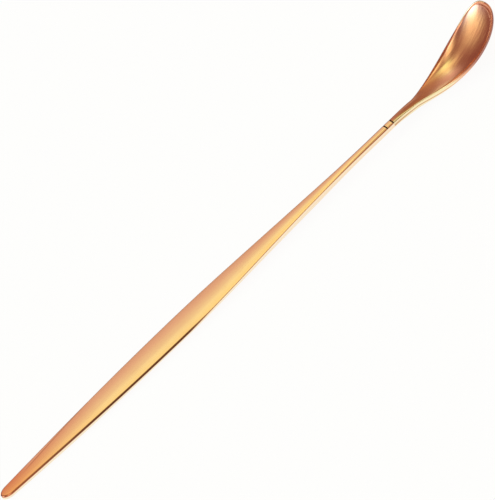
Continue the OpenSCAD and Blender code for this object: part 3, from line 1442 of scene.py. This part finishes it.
@dataclass(frozen=True)
class Studio:
    """The white table and the room round it, with its soft patches of light.

    The table glows, so that it stays white, and takes only a share of the shadow that falls on it:
    one share where it is seen, and another where the spoon mirrors it. In the mirror it also turns
    to the tone beyond, between the two distances of its reach from the spoon's middle line.
    """

    table_radius: float = 8.0
    table_sides: int = 128
    table_white: Colour = (0.98, 0.98, 0.98)
    table_glow: Colour = (1.0, 1.0, 1.0)
    sheet_reach: Span = (35 * MM, 95 * MM)
    beyond: Colour = (0.34, 0.15, 0.12)
    shadow_seen: float = 0.08
    shadow_mirrored: float = 0.15
    room: Colour = (0.27, 0.125, 0.115)
    horizon: Colour = (0.98, 0.98, 0.98)
    horizon_fade: Span = (math.radians(1.5), math.radians(3))
    glows: tuple[Glow, ...] = (
        Glow("far_foot", 61, 18, 6, (0.60, 0.85, 0.70)),
        Glow("far_crown", 94, 63, 6, (0.55, 0.60, 0.40)),
        Glow("far_soft", 66, 33, 8, (0.38, 0.40, 0.40)),
        Glow("far_key", 66, 45, 8, (0.36, 0.40, 0.38)),
        Glow("far_streak", 62, 51, 4.5, (0.34, 0.80, 0.50)),
        Glow("far_high", 60, 60, 7, (0.35, 0.27, 0.12)),
        Glow("far_top", 50, 68, 8, (0.90, 1.60, 0.88)),
        Glow("tip_window", 181, 14, 16, (2.2, 3.6, 5.2)),
        Glow("tip_gold", 164, 31, 12, (0.60, 0.75, 0.35)),
        Glow("far_left", 143, 41, 14, (0.72, 0.82, 0.56)),
        Glow("near_high", 262, 57, 8, (2.0, 2.2, 1.9)),
        Glow("near_top", 260, 80, 8, (1.2, 1.4, 0.9)),
        Glow("near_right", 318, 52, 9, (1.2, 1.45, 0.9)),
        Glow("low_right", 4, 24, 16, (3.4, 3.1, 1.6)),
        Glow("low_near", 250, 20, 12, (1.6, 1.7, 1.7)),
    )

    def build(self) -> None:
        """Sets the table and the room."""
        clear_selection()
        bpy.ops.mesh.primitive_circle_add(
            vertices=self.table_sides, radius=self.table_radius, fill_type="NGON")
        table = bpy.context.object
        table.name = "white_table"
        table.data.materials.append(self.table_material())
        self.light_room()

    def table_material(self) -> bpy.types.Material:
        """White that takes a share of its shadow, and is dim far off where it is mirrored.

        Returns:
            The material.
        """
        material = bpy.data.materials.new("white_table")
        material.use_nodes = True
        nodes = material.node_tree.nodes
        nodes.remove(nodes["Principled BSDF"])
        bench = Bench(material.node_tree)
        path = bench.add("LightPath").outputs
        mirrored = bench.maths("MAXIMUM", path["Is Glossy Ray"], path["Is Transmission Ray"])
        across = bench.axis(bench.add("TexCoord").outputs["Object"], "Y")
        off = bench.spread(bench.maths("ABSOLUTE", across), self.sheet_reach, (0.0, 1.0))
        far = bench.maths("MULTIPLY", off, mirrored)
        seen = bench.maths("MULTIPLY", path["Is Camera Ray"], 1 - self.shadow_seen)
        near = bench.maths("MULTIPLY", mirrored, 1 - self.shadow_mirrored)
        share = bench.maths("MAXIMUM", bench.maths("MAXIMUM", seen, near), far)
        matt, glow, surface = (bench.add(kind) for kind in ("BsdfDiffuse", "Emission", "MixShader"))
        bench.feed(self.table_white, matt.inputs["Color"])
        bench.join(bench.blend(far, self.table_glow, self.beyond), glow.inputs["Color"])
        for source, target in zip((share, matt.outputs["BSDF"], glow.outputs["Emission"]), surface.inputs):
            bench.join(source, target)
        bench.join(surface.outputs["Shader"], nodes["Material Output"].inputs["Surface"])
        return material

    def light_room(self) -> None:
        """Lights the room: a dim warm tone, a pale band round the horizon, and the glows."""
        world = bpy.data.worlds.new("studio_room")
        world.use_nodes = True
        bpy.context.scene.world = world
        bench = Bench(world.node_tree)
        direction = bench.add("TexCoord").outputs["Generated"]
        light = self.room
        for glow in self.glows:
            light = bench.vector("ADD", light, glow.paint(bench, direction))
        low = bench.spread(bench.axis(direction, "Z"), self.horizon_fade, (1.0, 0.0))
        tone = bench.blend(low, light, self.horizon)
        bench.join(tone, world.node_tree.nodes["Background"].inputs["Color"])


@dataclass(frozen=True)
class Camera:
    """A long lens that looks down on the spoon from its near side, tip at the lower left."""

    azimuth: float = math.radians(331.9593)
    elevation: float = math.radians(43.3745)
    roll: float = math.radians(-23.0679)
    target: Vector = Vector((3.223, 5.363, 4.141)) * MM
    distance: float = 6.1272
    far_share: float = 4.0
    lens: float = 1000.0
    sensor: float = 36.0

    def build(self) -> None:
        """Places the camera and gives it to the scene."""
        back = Vector((
            math.sin(self.azimuth) * math.cos(self.elevation),
            -math.cos(self.azimuth) * math.cos(self.elevation),
            math.sin(self.elevation)))
        level = Vector((math.cos(self.azimuth), math.sin(self.azimuth), 0))
        upright = back.cross(level)
        right = level * math.cos(self.roll) + upright * math.sin(self.roll)
        up = upright * math.cos(self.roll) - level * math.sin(self.roll)
        data = bpy.data.cameras.new("camera")
        data.lens = self.lens
        data.sensor_width = self.sensor
        data.clip_end = self.far_share * self.distance
        holder = bpy.data.objects.new("camera", data)
        bpy.context.collection.objects.link(holder)
        turn = Matrix((right, up, back)).transposed().to_4x4()
        holder.matrix_world = Matrix.Translation(self.target + back * self.distance) @ turn
        bpy.context.scene.camera = holder


# --- Spoon ----------------------------------------------------------------------------------------
@dataclass(frozen=True)
class Spoon:
    """The whole spoon: it settles how the pieces lie and has each one built."""

    handle: Handle = Handle()

    def lay(self, bowl: Bowl) -> Lay:
        """How the spoon lies: on the flat of the foot and on the lowest place of the bowl.

        Args:
            bowl: The bowl that it rests on.

        Returns:
            The centre line's slope and start.
        """
        keel = [ring[0] for ring in bowl.rings]
        slope = max((-z - self.handle.tip_drop) / x for x, _, z in keel)
        lean = math.atan(slope)
        low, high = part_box("neck_collar")
        middle = self.handle.length + NECK.collar_length / 2
        start_x = (low.x + high.x) / 2 - middle * math.cos(lean)
        return Lay(slope, Vector((start_x, 0, self.handle.tip_drop * math.cos(lean))))

    def build(self) -> None:
        """Builds and dresses every piece, from the tip to the bowl and then inside the neck."""
        collar = Collar(self.handle)
        bowl = Bowl(start=collar.end)
        bore = (self.handle.length - NECK.pin_in_handle, bowl.start + NECK.pin_in_bowl)
        shop = Shop(self.lay(bowl), bore, Effects())
        for part in (self.handle, collar, bowl, Joint()):
            part.build(shop)


def main() -> None:
    """Builds the spoon and the studio."""
    logging.basicConfig(level=logging.INFO, format="%(name)s: %(message)s")
    bpy.context.scene.view_settings.view_transform = "Standard"
    Camera().build()
    Spoon().build()
    Studio().build()


if __name__ == "__main__":
    main()
